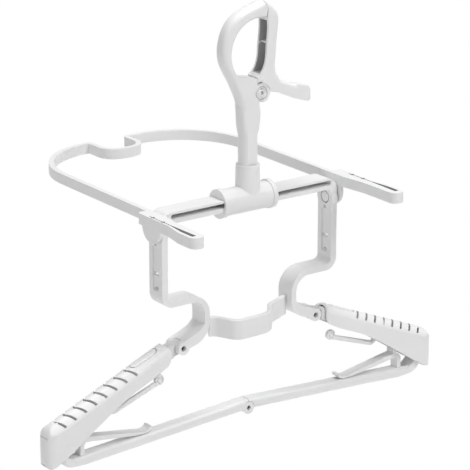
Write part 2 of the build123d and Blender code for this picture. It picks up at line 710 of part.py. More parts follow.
def end_section(inset):
    """Plan of the arm with rounded corners at its end."""
    with BuildSketch() as section:
        with BuildLine():
            FilletPolyline((0, -half_depth + inset), (arm_end_x - inset, -half_depth + inset),
                           (arm_end_x - inset, half_depth - inset), (0, half_depth - inset),
                           radius=[arm_end_corner - inset / 2] * 2)
            Line((0, half_depth - inset), (0, -half_depth + inset))
        make_face()
    return section.sketch


crown_outside = crown_section(0)
crown_inside = crown_section(arm_wall)
crown_plane = Plane(origin=ridge_origin - along * overrun, x_dir=(0, 1, 0), z_dir=along)
with BuildPart() as arm_cavity:
    with BuildSketch(front):
        with BuildLine():
            Polyline((ridge_start[0] - overrun, -ridge_start[1] + overrun), (ridge_end[0], -ridge_start[1] + overrun),
                     (ridge_end[0] - arm_wall / 2, -ridge_end[1] - arm_wall),
                     (arm_end_points[0][0] - arm_wall, -arm_end_points[0][1] - arm_wall / 2),
                     (arm_end_x - arm_wall, -arm_end_points[1][1]),
                     (arm_end_x - arm_wall, -arm_end_points[2][1] - overrun),
                     (ridge_start[0] - overrun, -arm_end_points[2][1] - overrun), close=True)
        make_face()
    extrude(amount=half_depth - arm_wall, both=True)
    with BuildSketch(crown_plane):
        add(crown_inside)
    extrude(amount=ridge_length + 2 * overrun, mode=Mode.INTERSECT)
    with BuildSketch(plan(0)):
        add(end_section(arm_wall))
    extrude(amount=-2 * arm_end_x, mode=Mode.INTERSECT)

top_plane = Plane(origin=ridge_origin, x_dir=along, z_dir=outward)
with BuildPart() as arm_shell:
    with BuildSketch(front):
        with BuildLine():
            ridge = Line(below([ridge_start])[0], below([ridge_end])[0])
            end_curve = Spline(*below([ridge_end, *arm_end_points]))
            lower_edge = Spline(*below([arm_end_points[-1], *arm_lower_points]))
            Spline(*below([arm_lower_points[-1], *arm_nose_points, ridge_start]))
        make_face()
    extrude(amount=half_depth, both=True)
    with BuildSketch(crown_plane):
        add(crown_outside)
    extrude(amount=ridge_length + 2 * overrun, mode=Mode.INTERSECT)
    with BuildSketch(plan(0)):
        add(end_section(0))
    extrude(amount=-2 * arm_end_x, mode=Mode.INTERSECT)
    add(arm_cavity.part, mode=Mode.SUBTRACT)
    with BuildSketch(top_plane):
        for i in range(chevron_count):
            apex = (hinge_x + chevron_reach + i * chevron_pitch_x - ridge_start[0]) / math.cos(slope)
            tail = apex - chevron_sweep
            with BuildLine():
                Polyline((apex, 0), (tail, chevron_half_width), (tail - chevron_slit, chevron_half_width),
                         (apex - chevron_slit, 0), (tail - chevron_slit, -chevron_half_width),
                         (tail, -chevron_half_width), close=True)
            make_face()
    extrude(amount=-chevron_depth, mode=Mode.SUBTRACT)
    tab_length = (tab_reaches[1] - tab_reaches[0]) / math.cos(slope)
    tab_middle = (hinge_x + sum(tab_reaches) / 2 - ridge_start[0]) / math.cos(slope)
    with BuildSketch(top_plane):
        with Locations((tab_middle, 0)):
            SlotOverall(tab_length, tab_width)
            SlotOverall(tab_length - 2 * tab_line, tab_width - 2 * tab_line, mode=Mode.SUBTRACT)
    extrude(amount=-tab_depth, mode=Mode.SUBTRACT)

with BuildPart() as core_neck:
    with BuildSketch(front):
        with BuildLine():
            Polyline(*below(from_hinge(core_neck_outline)), close=True)
        make_face()
    extrude(amount=half_depth, both=True)
    with BuildSketch(crown_plane):
        add(crown_section(arm_wall + core_gap))
    extrude(amount=ridge_length + 2 * overrun, mode=Mode.INTERSECT)

with BuildPart() as arm_core:
    with BuildSketch(front):
        with BuildLine():
            Polyline(*below(from_hinge(core_block_outline)), close=True)
        make_face()
    extrude(amount=half_depth - arm_wall, both=True)
    add(arm_cavity.part, mode=Mode.INTERSECT)
    add(core_neck.part)
    with BuildSketch(front):
        with Locations((hinge_x, -hinge_drop)):
            Circle(knuckle_radius)
        with BuildLine():
            Polyline(*below(from_hinge(core_tongue_outline)), close=True)
        make_face()
    extrude(amount=tongue_width / 2, both=True)
    with BuildSketch(front):
        with Locations((hinge_x, -hinge_drop)):
            Circle(hinge_pin_radius + turning_gap)
    extrude(amount=strip_depth, both=True, mode=Mode.SUBTRACT)

with BuildPart() as strap_hook:
    with BuildSketch(front):
        with Locations((strap_root[0], -strap_root[1] + strap_block_height / 2)):
            Rectangle(strap_block_length, strap_block_height)
    extrude(amount=half_depth - arm_wall, both=True)
    add(arm_cavity.part, mode=Mode.INTERSECT)
    with BuildLine(front.offset(strap_y)) as strap_line:
        FilletPolyline(*below(strap_points), radius=strap_bend_radius)
    with BuildSketch(Plane(origin=strap_line.line @ 0, z_dir=strap_line.line % 0)):
        Circle(strap_rod_radius)
    sweep()
    with BuildSketch(front.offset(strap_y)):
        with Locations(*below(strap_button)):
            Circle(strap_button_radius)
    extrude(amount=strap_button_thickness / 2, both=True)
    button_rims = strap_hook.edges().filter_by(GeomType.CIRCLE).filter_by(lambda e: e.radius > strap_rod_radius * 2)
    fillet(button_rims, strap_button_edge)
    with BuildSketch(front.offset(strap_y + strap_button_thickness / 2)):
        with Locations(*below(strap_button)):
            Circle(strap_ring_radii[0])
            Circle(strap_ring_radii[1], mode=Mode.SUBTRACT)
    extrude(amount=-strap_ring_depth, mode=Mode.SUBTRACT)

with BuildPart() as arm_pin:
    with BuildSketch(front):
        with Locations((hinge_x, -hinge_drop)):
            Circle(hinge_pin_radius)
    extrude(amount=hinge_pin_length / 2, both=True)


# Lower bars, lapped at the centre pin
def bar_line(x, drop):
    """Point on a line that falls with the bars' slope."""
    return (x, -drop - bar_slope_drop * x / bar_slope_x)


lap_depth = bar_depth / 2 - side_gap / 2


def make_bar(lug_turn):
    """Right-hand bar whose knuckle at the centre lies behind (-1) or in front (+1)."""
    with BuildPart() as bar:
        with BuildSketch(front):
            with BuildLine():
                Polyline(bar_line(side_gap, bar_top_drop), bar_line(tip_pin_x + ramp_start_x, bar_top_drop),
                         *at_bar([ramp_top]), (tip_pin_x, -tip_pin_drop))
                heel = Spline((tip_pin_x + tip_knuckle_radius, -tip_pin_drop), *at_bar(heel_points))
                Line((tip_pin_x, -tip_pin_drop), heel @ 0)
                Polyline(heel @ 1, bar_line(bar_slope_x, bar_bottom_drop), bar_line(side_gap, bar_bottom_drop),
                         bar_line(side_gap, bar_top_drop))
            make_face()
            with Locations((tip_pin_x, -tip_pin_drop)):
                Circle(tip_knuckle_radius)
        extrude(amount=bar_depth / 2, both=True)
        crown_edges = bar.edges().filter_by(GeomType.LINE).filter_by_position(
            Axis.Z, -bar_top_drop - bar_slope_drop - hang_drop, -bar_top_drop - hang_drop)
        fillet(crown_edges.sort_by(Edge.length)[-2:], bar_crown)
        with BuildSketch(front):
            with Locations((0, -centre_pin_drop)):
                Circle(centre_knuckle_radius + side_gap)
        extrude(amount=bar_depth, both=True, mode=Mode.SUBTRACT)
        with BuildSketch(front.offset(lug_turn * side_gap / 2)):
            with Locations((0, -centre_pin_drop)):
                Circle(centre_knuckle_radius)
            with BuildLine():
                Polyline((side_gap, -centre_pin_drop), (2 * centre_knuckle_radius, -centre_pin_drop - side_gap),
                         bar_line(2 * centre_knuckle_radius, bar_top_drop + bar_crown),
                         bar_line(side_gap, bar_top_drop + bar_crown), close=True)
            make_face()
        extrude(amount=lug_turn * lap_depth)
        with BuildSketch(front):
            with Locations((0, -centre_pin_drop)):
                Circle(centre_pin_radius + turning_gap)
            with Locations((tip_pin_x, -tip_pin_drop)):
                Circle(tip_pin_radius)
        extrude(amount=bar_depth, both=True, mode=Mode.SUBTRACT)
    return bar


bars = {"left": make_bar(1), "right": make_bar(-1)}

with BuildPart() as tip_pin:
    with BuildSketch(front):
        with Locations((tip_pin_x, -tip_pin_drop)):
            Circle(tip_pin_radius)
    extrude(amount=half_depth - arm_wall - side_gap / 2, both=True)

clip_foot = bar_line(tip_pin_x + clip_leg_x[0], bar_top_drop)
clip_post_left, clip_post_right = [tip_pin_x + x for x in clip_post_x]
with BuildPart() as trouser_clip:
    with BuildSketch(front):
        with BuildLine():
            outside = Spline(*at_bar(clip_outer_points))
            post_top = -bar_top_drop - clip_post_depth
            Polyline(clip_foot, bar_line(tip_pin_x + clip_leg_x[1], bar_top_drop), outside @ 0)
            post = Polyline(outside @ 1, (clip_post_right, post_top), (clip_post_left, post_top),
                            (clip_post_left, (outside @ 1).Y))
            leaf_top = Spline(*at_bar(clip_leaf_points))
            Line(post @ 1, leaf_top @ 0)
            tip = Polyline(leaf_top @ 1, *at_bar(clip_tip_points), bar_line(tip_pin_x + clip_nip_x, bar_top_drop - clip_gap),
                           *at_bar(clip_gap_points))
            Line(tip @ 1, clip_foot)
        make_face()
    extrude(amount=clip_depth / 2, both=True)

for name, sign in sides:
    for piece, source in (("arm_shell_", arm_shell), ("arm_core_", arm_core), ("strap_hook_", strap_hook),
                          ("arm_pin_", arm_pin), ("bar_", bars[name]), ("tip_pin_", tip_pin),
                          ("trouser_clip_", trouser_clip)):
        with BuildPart() as placed:
            if sign > 0:
                add(source.part)
            else:
                mirror(source.part, about=Plane.YZ)
        keep(placed, piece + name)

with BuildPart() as centre_pin:
    with BuildSketch(front):
        with Locations((0, -centre_pin_drop)):
            Circle(centre_pin_radius)
    extrude(amount=centre_pin_length / 2, both=True)
keep(centre_pin, "centre_pin")
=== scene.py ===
import json
import math

import bmesh
import bpy
import numpy as np
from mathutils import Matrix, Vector


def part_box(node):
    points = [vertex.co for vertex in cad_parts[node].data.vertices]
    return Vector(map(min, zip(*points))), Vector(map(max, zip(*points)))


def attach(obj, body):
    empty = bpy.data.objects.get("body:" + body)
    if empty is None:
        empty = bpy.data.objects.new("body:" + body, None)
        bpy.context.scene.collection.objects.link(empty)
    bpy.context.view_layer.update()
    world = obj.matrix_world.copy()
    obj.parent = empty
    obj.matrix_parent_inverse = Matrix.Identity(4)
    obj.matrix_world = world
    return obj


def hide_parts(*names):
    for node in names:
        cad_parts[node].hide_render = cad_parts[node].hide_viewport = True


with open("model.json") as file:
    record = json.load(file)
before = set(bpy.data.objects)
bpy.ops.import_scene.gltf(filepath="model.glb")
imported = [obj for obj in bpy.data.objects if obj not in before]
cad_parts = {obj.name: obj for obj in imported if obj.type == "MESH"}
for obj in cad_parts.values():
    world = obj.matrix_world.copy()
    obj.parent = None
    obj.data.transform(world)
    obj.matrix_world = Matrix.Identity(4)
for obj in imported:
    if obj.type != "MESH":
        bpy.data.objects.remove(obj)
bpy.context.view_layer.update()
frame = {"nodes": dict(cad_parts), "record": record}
print("frame loaded:", len(frame["nodes"]), "nodes")

hangDrop = 0.1408  # hanging point down to the crossbar's top face
leastLength = 1e-9  # keeps a division away from zero
mixFirst, mixSecond, mixResult = 6, 7, 2  # the Mix node's sockets for colours

whitePlastic = {
    "lightShade": (0.86, 0.862, 0.86, 1), "darkShade": (0.80, 0.803, 0.805, 1),
    "grainScale": 1500.0, "grainDepth": 0.00002, "bumpStrength": 0.25,
    "roughLow": 0.30, "roughHigh": 0.42, "scuffs": 0.35, "refraction": 1.49,
}
# a darker, rougher grey: the darker grey is painted shade for the arms' cores inside the shells
innerShadePlastic = dict(whitePlastic, lightShade=(0.78, 0.78, 0.785, 1), darkShade=(0.70, 0.705, 0.71, 1),
                    roughLow=0.45, roughHigh=0.6)
# a darker grey: painted shade in the arms' hollows
cavityShadePlastic = dict(innerShadePlastic, lightShade=(0.62, 0.62, 0.625, 1), darkShade=(0.55, 0.55, 0.555, 1))
# a darker grey again: painted shade in the gate's channel, the hook's slot and ring, the clips' slits and the
# gate pin's key
recessShadePlastic = dict(innerShadePlastic, lightShade=(0.52, 0.52, 0.525, 1), darkShade=(0.46, 0.46, 0.465, 1))
pinSteel = {
    "lightShade": (0.62, 0.62, 0.63, 1), "darkShade": (0.42, 0.42, 0.44, 1),
    "ringScale": 900.0, "ringDepth": 0.00003, "bumpStrength": 0.2,
}
# near-black: painted shade in the hollow pins' deep rings
recessShadeSteel = dict(pinSteel, lightShade=(0.12, 0.12, 0.125, 1), darkShade=(0.05, 0.05, 0.055, 1),
                 ringScale=1800.0)
springSteel = dict(pinSteel, lightShade=(0.55, 0.55, 0.57, 1), darkShade=(0.30, 0.30, 0.33, 1),
                   ringScale=2500.0)


def addNode(tree, kind, values=None, **settings):
    node = tree.nodes.new(kind)
    for setting, value in settings.items():
        setattr(node, setting, value)
    for socket, value in (values or {}).items():
        node.inputs[socket].default_value = value
    return node


def join(tree, *pairs):
    for start, stop in pairs:
        tree.links.new(start, stop)


skinOutputs = {"Color": "NodeSocketColor", "Roughness": "NodeSocketFloat", "Height": "NodeSocketFloat"}


def startGroup(name, inputs):
    # every skin gives a colour, a roughness and a height
    group = bpy.data.node_groups.new(name, "ShaderNodeTree")
    for label, kind in inputs.items():
        group.interface.new_socket(label, in_out="INPUT", socket_type=kind)
    for label, kind in skinOutputs.items():
        group.interface.new_socket(label, in_out="OUTPUT", socket_type=kind)
    return group, group.nodes.new("NodeGroupInput").outputs, group.nodes.new("NodeGroupOutput").inputs


mouldSkin = {
    "cloudScale": 22.0, "cloudDetail": 3.0, "grainDetail": 2.0,
    "scuffStretch": (60.0, 420.0, 160.0), "scuffDetail": 5.0, "scuffFrom": 0.62, "scuffTo": 0.78,
    "scuffShade": (0.93, 0.925, 0.915, 1), "scuffRoughness": 0.25,
}


def makeMouldedGrain(look):
    # spark-eroded mould skin: a fine grain, slow cloudy patches, and faint scuffs that run long and thin
    group, given, result = startGroup("mouldedGrain", {
        "Light": "NodeSocketColor", "Dark": "NodeSocketColor", "Grain Scale": "NodeSocketFloat",
        "Rough Low": "NodeSocketFloat", "Rough High": "NodeSocketFloat", "Scuffs": "NodeSocketFloat"})
    place = addNode(group, "ShaderNodeTexCoord").outputs["Object"]
    cloud = addNode(group, "ShaderNodeTexNoise", {"Scale": look["cloudScale"], "Detail": look["cloudDetail"]})
    grain = addNode(group, "ShaderNodeTexNoise", {"Detail": look["grainDetail"]})
    streak = addNode(group, "ShaderNodeMapping", {"Scale": look["scuffStretch"]})
    scuff = addNode(group, "ShaderNodeTexNoise", {"Scale": 1.0, "Detail": look["scuffDetail"]})
    mask = addNode(group, "ShaderNodeMapRange", {"From Min": look["scuffFrom"], "From Max": look["scuffTo"]})
    amount = addNode(group, "ShaderNodeMath", operation="MULTIPLY")
    shade = addNode(group, "ShaderNodeMix", data_type="RGBA")
    worn = addNode(group, "ShaderNodeMix", {mixSecond: look["scuffShade"]},
                   data_type="RGBA", blend_type="MULTIPLY")
    rough = addNode(group, "ShaderNodeMapRange")
    roughWorn = addNode(group, "ShaderNodeMath", {1: look["scuffRoughness"]}, operation="MULTIPLY_ADD")
    join(group,
         (place, cloud.inputs["Vector"]), (place, grain.inputs["Vector"]), (place, streak.inputs["Vector"]),
         (given["Grain Scale"], grain.inputs["Scale"]), (streak.outputs[0], scuff.inputs["Vector"]),
         (scuff.outputs[0], mask.inputs["Value"]), (mask.outputs[0], amount.inputs[0]),
         (given["Scuffs"], amount.inputs[1]), (cloud.outputs[0], shade.inputs[0]),
         (given["Light"], shade.inputs[mixFirst]), (given["Dark"], shade.inputs[mixSecond]),
         (amount.outputs[0], worn.inputs[0]), (shade.outputs[mixResult], worn.inputs[mixFirst]),
         (grain.outputs[0], rough.inputs["Value"]), (given["Rough Low"], rough.inputs["To Min"]),
         (given["Rough High"], rough.inputs["To Max"]), (amount.outputs[0], roughWorn.inputs[0]),
         (rough.outputs[0], roughWorn.inputs[2]), (worn.outputs[mixResult], result["Color"]),
         (roughWorn.outputs[0], result["Roughness"]), (grain.outputs[0], result["Height"]))
    return group


turnedSkin = {"distortion": 0.6, "blotchScale": 300.0, "roughLow": 0.22, "roughHigh": 0.42}


def makeTurnedSteel(look):
    # lathe marks: bands along the axis, slightly distorted, on a blotchy metal
    group, given, result = startGroup("turnedSteel", {
        "Light": "NodeSocketColor", "Dark": "NodeSocketColor", "Ring Scale": "NodeSocketFloat"})
    place = addNode(group, "ShaderNodeTexCoord").outputs["Object"]
    rings = addNode(group, "ShaderNodeTexWave", {"Distortion": look["distortion"]},
                    wave_type="BANDS", bands_direction="Y")
    blotch = addNode(group, "ShaderNodeTexNoise", {"Scale": look["blotchScale"]})
    shade = addNode(group, "ShaderNodeMix", data_type="RGBA")
    rough = addNode(group, "ShaderNodeMapRange", {"To Min": look["roughLow"], "To Max": look["roughHigh"]})
    join(group,
         (place, rings.inputs["Vector"]), (place, blotch.inputs["Vector"]),
         (given["Ring Scale"], rings.inputs["Scale"]), (blotch.outputs[0], shade.inputs[0]),
         (given["Light"], shade.inputs[mixFirst]), (given["Dark"], shade.inputs[mixSecond]),
         (rings.outputs[1], rough.inputs["Value"]), (shade.outputs[mixResult], result["Color"]),
         (rough.outputs[0], result["Roughness"]), (rings.outputs[1], result["Height"]))
    return group


mouldedGrain = makeMouldedGrain(mouldSkin)
turnedSteel = makeTurnedSteel(turnedSkin)


def startMaterial(name, group, values, bumpStrength, bumpDepth):
    material = bpy.data.materials.new(name)
    material.use_nodes = True
    tree = material.node_tree
    shader = tree.nodes["Principled BSDF"]
    bump = addNode(tree, "ShaderNodeBump", {"Strength": bumpStrength, "Distance": bumpDepth})
    skin = addNode(tree, "ShaderNodeGroup", values, node_tree=group)
    join(tree,
         (skin.outputs["Color"], shader.inputs["Base Color"]),
         (skin.outputs["Roughness"], shader.inputs["Roughness"]),
         (skin.outputs["Height"], bump.inputs["Height"]), (bump.outputs[0], shader.inputs["Normal"]))
    return material, shader


def makePlastic(name, look):
    values = {"Light": look["lightShade"], "Dark": look["darkShade"], "Grain Scale": look["grainScale"],
              "Rough Low": look["roughLow"], "Rough High": look["roughHigh"], "Scuffs": look["scuffs"]}
    material, shader = startMaterial(name, mouldedGrain, values, look["bumpStrength"], look["grainDepth"])
    shader.inputs["IOR"].default_value = look["refraction"]
    return material


def makeSteel(name, look):
    values = {"Light": look["lightShade"], "Dark": look["darkShade"], "Ring Scale": look["ringScale"]}
    material, shader = startMaterial(name, turnedSteel, values, look["bumpStrength"], look["ringDepth"])
    shader.inputs["Metallic"].default_value = 1.0
    return material


whiteShell = makePlastic("whiteShell", whitePlastic)
# the inner, channel, pin-ring and cavity materials are darker greys that paint in shade
whiteInner = makePlastic("whiteInner", innerShadePlastic)
channelShade = makePlastic("channelShade", recessShadePlastic)
steelPin = makeSteel("steelPin", pinSteel)
springWire = makeSteel("springWire", springSteel)
pinRecess = makeSteel("pinRecess", recessShadeSteel)
cavitySkin = makePlastic("cavitySkin", cavityShadePlastic)
print("materials made")

nodeFinish = {  # kind of node: its material, where it isn't the white shell
    "arm_pin": steelPin, "tip_pin": steelPin, "centre_pin": steelPin,
    # the arms' cores take a darker grey of painted shade
    "swivel_ring": springWire, "gate_spring": springWire, "arm_core": whiteInner,
}
bodyOf = {}
for body, members in frame["record"]["behaviour"]["bodies"].items():
    for member in members:
        bodyOf[member] = body


def kindOf(node):
    # a left and a right node are of one kind
    return node.removesuffix("_left").removesuffix("_right")


def pieceName(node):
    words = node.split("_")
    return words[0] + "".join(word.capitalize() for word in words[1:])


def dress(piece, node):
    piece.data.materials.clear()
    piece.data.materials.append(nodeFinish.get(kindOf(node), whiteShell))
    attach(piece, bodyOf[node])


def readVectors(items, label):
    # one row of three for each vertex or face
    values = np.empty(len(items) * 3)
    items.foreach_get(label, values)
    return values.reshape(-1, 3)


def bevelCreases(piece, angle, width, segments, hardNormals=True):
    rounding = piece.modifiers.new("mouldedEdges", "BEVEL")
    rounding.limit_method = "ANGLE"
    rounding.angle_limit = math.radians(angle)
    rounding.width = width
    rounding.segments = segments
    rounding.harden_normals = hardNormals
    return rounding


def evenShading(piece):
    even = piece.modifiers.new("evenShading", "WEIGHTED_NORMAL")
    even.keep_sharp = True


mouldedEdges = {  # kind of node: radius of its edges, metres
    "hook_body": 0.0005, "hook_gate": 0.0005, "arm_shell": 0.0005, "arm_core": 0.0005, "trouser_clip": 0.0004,
    "loop_stud": 0.0003, "strap_hook": 0.0003, "tip_pin": 0.0003,
}
broadEdges = {  # kind of node: radius of its long free edges, which narrows by itself on narrow faces
    "frame": 0.0012, "hood_loop": 0.0013, "bar": 0.001, "t_connector": 0.0008,
}
edgeRules = {
    "joinGap": 0.000004,  # vertices nearer than this are one
    "flatAngle": 0.4,  # faces that turn less than this many degrees are one
    "creaseAngle": 38, "segments": 2, "broadSegments": 3,
    "widthShare": 0.3,  # of a patch's width that a broad rounding may take
}


def weighEdges(mesh, radius):
    # faces that run smoothly into each other form a patch
    # the share of the radius that an edge gets fits the narrower of its two patches
    work = bmesh.new()
    work.from_mesh(mesh)
    weights = work.edges.layers.float.new("bevel_weight_edge")
    crease = math.radians(edgeRules["creaseAngle"])
    sharp = {edge for edge in work.edges if len(edge.link_faces) == 2 and edge.calc_face_angle() > crease}
    patchOf = {}
    for seed in work.faces:
        if seed in patchOf:
            continue
        patchOf[seed] = seed
        waiting = [seed]
        while waiting:
            face = waiting.pop()
            for edge in face.edges:
                if edge in sharp:
                    continue
                for other in edge.link_faces:
                    if other not in patchOf:
                        patchOf[other] = seed
                        waiting.append(other)
    area, rim = {}, {}
    for face, seed in patchOf.items():
        area[seed] = area.get(seed, 0) + face.calc_area()
    for edge in sharp:
        for face in edge.link_faces:
            rim[patchOf[face]] = rim.get(patchOf[face], 0) + edge.calc_length()
    for edge in sharp:
        width = min(2 * area[patchOf[face]] / rim[patchOf[face]] for face in edge.link_faces)
        edge[weights] = min(1.0, edgeRules["widthShare"] * width / radius)
    work.to_mesh(mesh)
    work.free()


def roundNode(node, softenedLater):
    # the solid's own surface, joined up, with a rounded strip along each crease
    mesh = frame["nodes"][node].data.copy()
    work = bmesh.new()
    work.from_mesh(mesh)
    bmesh.ops.remove_doubles(work, verts=work.verts, dist=edgeRules["joinGap"])
    bmesh.ops.dissolve_limit(work, angle_limit=math.radians(edgeRules["flatAngle"]),
                             verts=work.verts, edges=work.edges)
    for face in work.faces:
        face.smooth = True
    work.to_mesh(mesh)
    work.free()
    piece = bpy.data.objects.new(pieceName(node), mesh)
    bpy.context.scene.collection.objects.link(piece)
    kind = kindOf(node)
    if kind in broadEdges:
        weighEdges(mesh, broadEdges[kind])
        rounding = bevelCreases(piece, edgeRules["creaseAngle"], broadEdges[kind], edgeRules["broadSegments"])
        rounding.limit_method = "WEIGHT"
    else:
        rounding = bevelCreases(piece, edgeRules["creaseAngle"], mouldedEdges[kind], edgeRules["segments"],
                                not softenedLater)
    rounding.miter_outer = "MITER_ARC"
    if not softenedLater:
        evenShading(piece)
    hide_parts(node)
    dress(piece, node)
    return piece


# lookRight and lookLeft: between two heights, how far to that side a wall may look and still count as outside
hookSoftness = {
    "middle": (0.0, -0.0265), "halfThickness": 0.0065, "radius": 0.0049, "cell": 0.0014,
    "lookRight": ((-0.052, 0.1, 0.8), (-1.0, -0.052, 0.0)),
    "fadeFrom": -0.070, "fadeTo": -0.088,
}
gateSoftness = {
    "middle": (0.008, -0.045), "halfThickness": 0.0065, "radius": 0.0034, "cell": 0.0014,
    "lookLeft": ((-0.0012, 0.1, 0.5), (-0.0433, -0.0012, -0.3), (-1.0, -0.0433, -0.05)),
    "fadeFrom": -0.2, "fadeTo": -0.3,
}
armSoftness = {
    "radius": 0.009, "cell": 0.0014, "evenFrom": 0.0095, "evenOver": 0.004, "evenRounds": 9,
    "wall": 0.0018, "hollowReach": 0.012, "roofRise": 0.012, "facingIn": -0.3,
    "wallGain": 0.0028,  # how far the hollow's walls draw back from the rounded outside
}
softening = {
    "upright": 0.999,  # length that a wall's normal keeps when it is seen along Y
    "wallBlend": 0.0004, "margin": 0.0004, "splitRounds": 6, "leastSquare": 1e-12,
}


def bakeModifiers(piece):
    baked = bpy.data.meshes.new_from_object(piece.evaluated_get(bpy.context.evaluated_depsgraph_get()))
    piece.modifiers.clear()
    piece.data = baked
    return baked


def wallSegments(mesh, look):
    # upright walls that look away from the middle: each a short line seen along Y, with its outward normal
    normals = readVectors(mesh.polygons, "normal")[:, ::2]
    middles = readVectors(mesh.polygons, "center")[:, ::2]
    away = np.sum(normals * (middles - look["middle"]), axis=1) > 0
    upright = np.linalg.norm(normals, axis=1) > softening["upright"]
    outside = np.zeros(len(middles), bool)
    for side, key in ((1, "lookRight"), (-1, "lookLeft")):
        for low, high, most in look.get(key, ()):
            outside |= (middles[:, 1] > low) & (middles[:, 1] < high) & (side * normals[:, 0] < most)
    places = readVectors(mesh.vertices, "co")[:, ::2]
    starts, stops, facing = [], [], []
    for index in np.flatnonzero(away & upright & outside):
        ends = places[list(mesh.polygons[index].vertices)]
        across = ends @ np.array((-normals[index, 1], normals[index, 0]))
        starts.append(ends[across.argmin()])
        stops.append(ends[across.argmax()])
        facing.append(normals[index])
    return np.array(starts), np.array(stops), np.array(facing)


def nearestWall(flat, walls):
    # nearest point on any of the short lines: how deep each point lies, and which way is out
    starts, stops, facing = walls
    run = stops - starts
    square = np.maximum(np.sum(run * run, axis=1), softening["leastSquare"])
    share = np.einsum("vsk,sk->vs", flat[:, None] - starts, run) / square
    nearest = starts + np.clip(share, 0, 1)[..., None] * run
    gap = np.linalg.norm(flat[:, None] - nearest, axis=2)
    weight = np.exp(-((gap - gap.min(axis=1, keepdims=True)) / softening["wallBlend"]) ** 2)
    outward = weight @ facing
    return gap.min(axis=1), outward / np.linalg.norm(outward, axis=1, keepdims=True)


def splitLongEdges(mesh, depthOf, look):
    # triangles near the wall are halved until their edges are about a cell long
    reach = look["radius"] + softening["margin"]
    work = bmesh.new()
    work.from_mesh(mesh)
    bmesh.ops.triangulate(work, faces=work.faces)
    for step in range(softening["splitRounds"]):
        depth = depthOf(np.array([vertex.co[:] for vertex in work.verts]))
        work.verts.index_update()
        near = [edge for edge in work.edges if edge.calc_length() > look["cell"]
                and min(depth[edge.verts[0].index], depth[edge.verts[1].index]) < reach]
        if not near:
            break
        bmesh.ops.subdivide_edges(work, edges=near, cuts=1)
        bmesh.ops.triangulate(work, faces=[face for face in work.faces if len(face.verts) > 3])
    for face in work.faces:
        face.smooth = True
    work.to_mesh(mesh)
    work.free()


def settle(piece, places):
    piece.data.vertices.foreach_set("co", places.ravel())
    piece.data.update()
    evenShading(piece)


def softenPlate(piece, look):
    # a point outside the quarter circle that is drawn into the plate's outer corner moves onto that circle
    mesh = bakeModifiers(piece)
    walls = wallSegments(mesh, look)
    radius = look["radius"]
    splitLongEdges(mesh, lambda places: nearestWall(places[:, ::2], walls)[0], look)
    places = readVectors(mesh.vertices, "co")
    depth, outward = nearestWall(places[:, ::2], walls)
    fromWall = radius - depth
    fromFlat = radius - look["halfThickness"] + np.abs(places[:, 1])
    reach = np.hypot(fromWall, fromFlat)
    fade = np.clip((places[:, 2] - look["fadeTo"]) / (look["fadeFrom"] - look["fadeTo"]), 0, 1)
    moved = (fromWall > 0) & (fromFlat > 0) & (reach > radius)
    shrink = np.where(moved, (radius / np.maximum(reach, leastLength) - 1) * fade, 0)
    places[:, ::2] += outward * (shrink * fromWall)[:, None]
    places[:, 1] += np.sign(places[:, 1]) * shrink * fromFlat
    settle(piece, places)


def softenArmEnd(piece, look):
    # the hollow's walls draw back, then the end's plan becomes a half circle as wide as the arm
    mesh = bakeModifiers(piece)
    end = np.abs(readVectors(mesh.vertices, "co")[:, 0]).max()
    radius = look["radius"]
    splitLongEdges(mesh, lambda places: end - np.abs(places[:, 0]), look)
    places = readVectors(mesh.vertices, "co")
    facing = readVectors(mesh.vertices, "normal")
    side = np.sign(places[:, 0])
    hidden = np.abs(places[:, 1]) < radius - look["wall"]
    hidden &= np.abs(places[:, 0]) > end - look["hollowReach"]
    endWall = hidden & (facing[:, 0] * side < look["facingIn"])
    places[:, 0] -= side * np.where(endWall, look["wallGain"], 0)
    roof = hidden & (facing[:, 2] < look["facingIn"]) & (places[:, 2] > places[:, 2].min() + look["roofRise"])
    places[:, 2] -= np.where(roof, look["wallGain"], 0)
    fromMiddle = np.abs(places[:, 0]) - (end - radius)
    reach = np.hypot(fromMiddle, places[:, 1])
    shrink = np.where((fromMiddle > 0) & (reach > radius), radius / np.maximum(reach, leastLength), 1)
    rounded = np.sign(places[:, 0]) * (end - radius + fromMiddle * shrink)
    places[:, 0] = np.where(fromMiddle > 0, rounded, places[:, 0])
    places[:, 1] *= shrink
    edges = np.empty(len(piece.data.edges) * 2, int)
    piece.data.edges.foreach_get("vertices", edges)
    first, second = edges.reshape(-1, 2).T
    neighbours = np.bincount(edges, minlength=len(places))[:, None]
    share = np.clip((np.abs(places[:, :1]) - end + look["evenFrom"]) / look["evenOver"], 0, 1) / 2
    for step in range(look["evenRounds"]):  # each point moves halfway to the middle of its neighbours
        total = np.zeros_like(places)
        np.add.at(total, first, places[second])
        np.add.at(total, second, places[first])
        places += (total / neighbours - places) * share
    settle(piece, places)


def roundedLine(corners, radii, spacing, arcPoints=17):
    # straight runs joined by arcs that touch both runs, then points at even steps along the whole line
    corners = np.array(corners, float)
    line = [corners[:1]]
    share = np.linspace(0, 1, arcPoints)[:, None]
    for before, corner, after, radius in zip(corners[:-2], corners[1:-1], corners[2:], radii):
        inward = (before - corner) / np.linalg.norm(before - corner)
        outward = (after - corner) / np.linalg.norm(after - corner)
        half = math.acos(inward @ outward) / 2
        middle = (inward + outward) / np.linalg.norm(inward + outward)
        centre = corner + middle * radius / math.sin(half)
        start = corner + inward * radius / math.tan(half) - centre
        stop = corner + outward * radius / math.tan(half) - centre
        turn = math.pi - 2 * half
        swept = np.sin((1 - share) * turn) * start + np.sin(share * turn) * stop
        line.append(centre + swept / math.sin(turn))
    line = np.vstack(line + [corners[-1:]])
    far = np.concatenate([[0], np.cumsum(np.linalg.norm(np.diff(line, axis=0), axis=1))])
    even = np.linspace(0, far[-1], int(far[-1] / spacing) + 1)
    return np.stack([np.interp(even, far, line[:, axis]) for axis in range(line.shape[1])], axis=1)


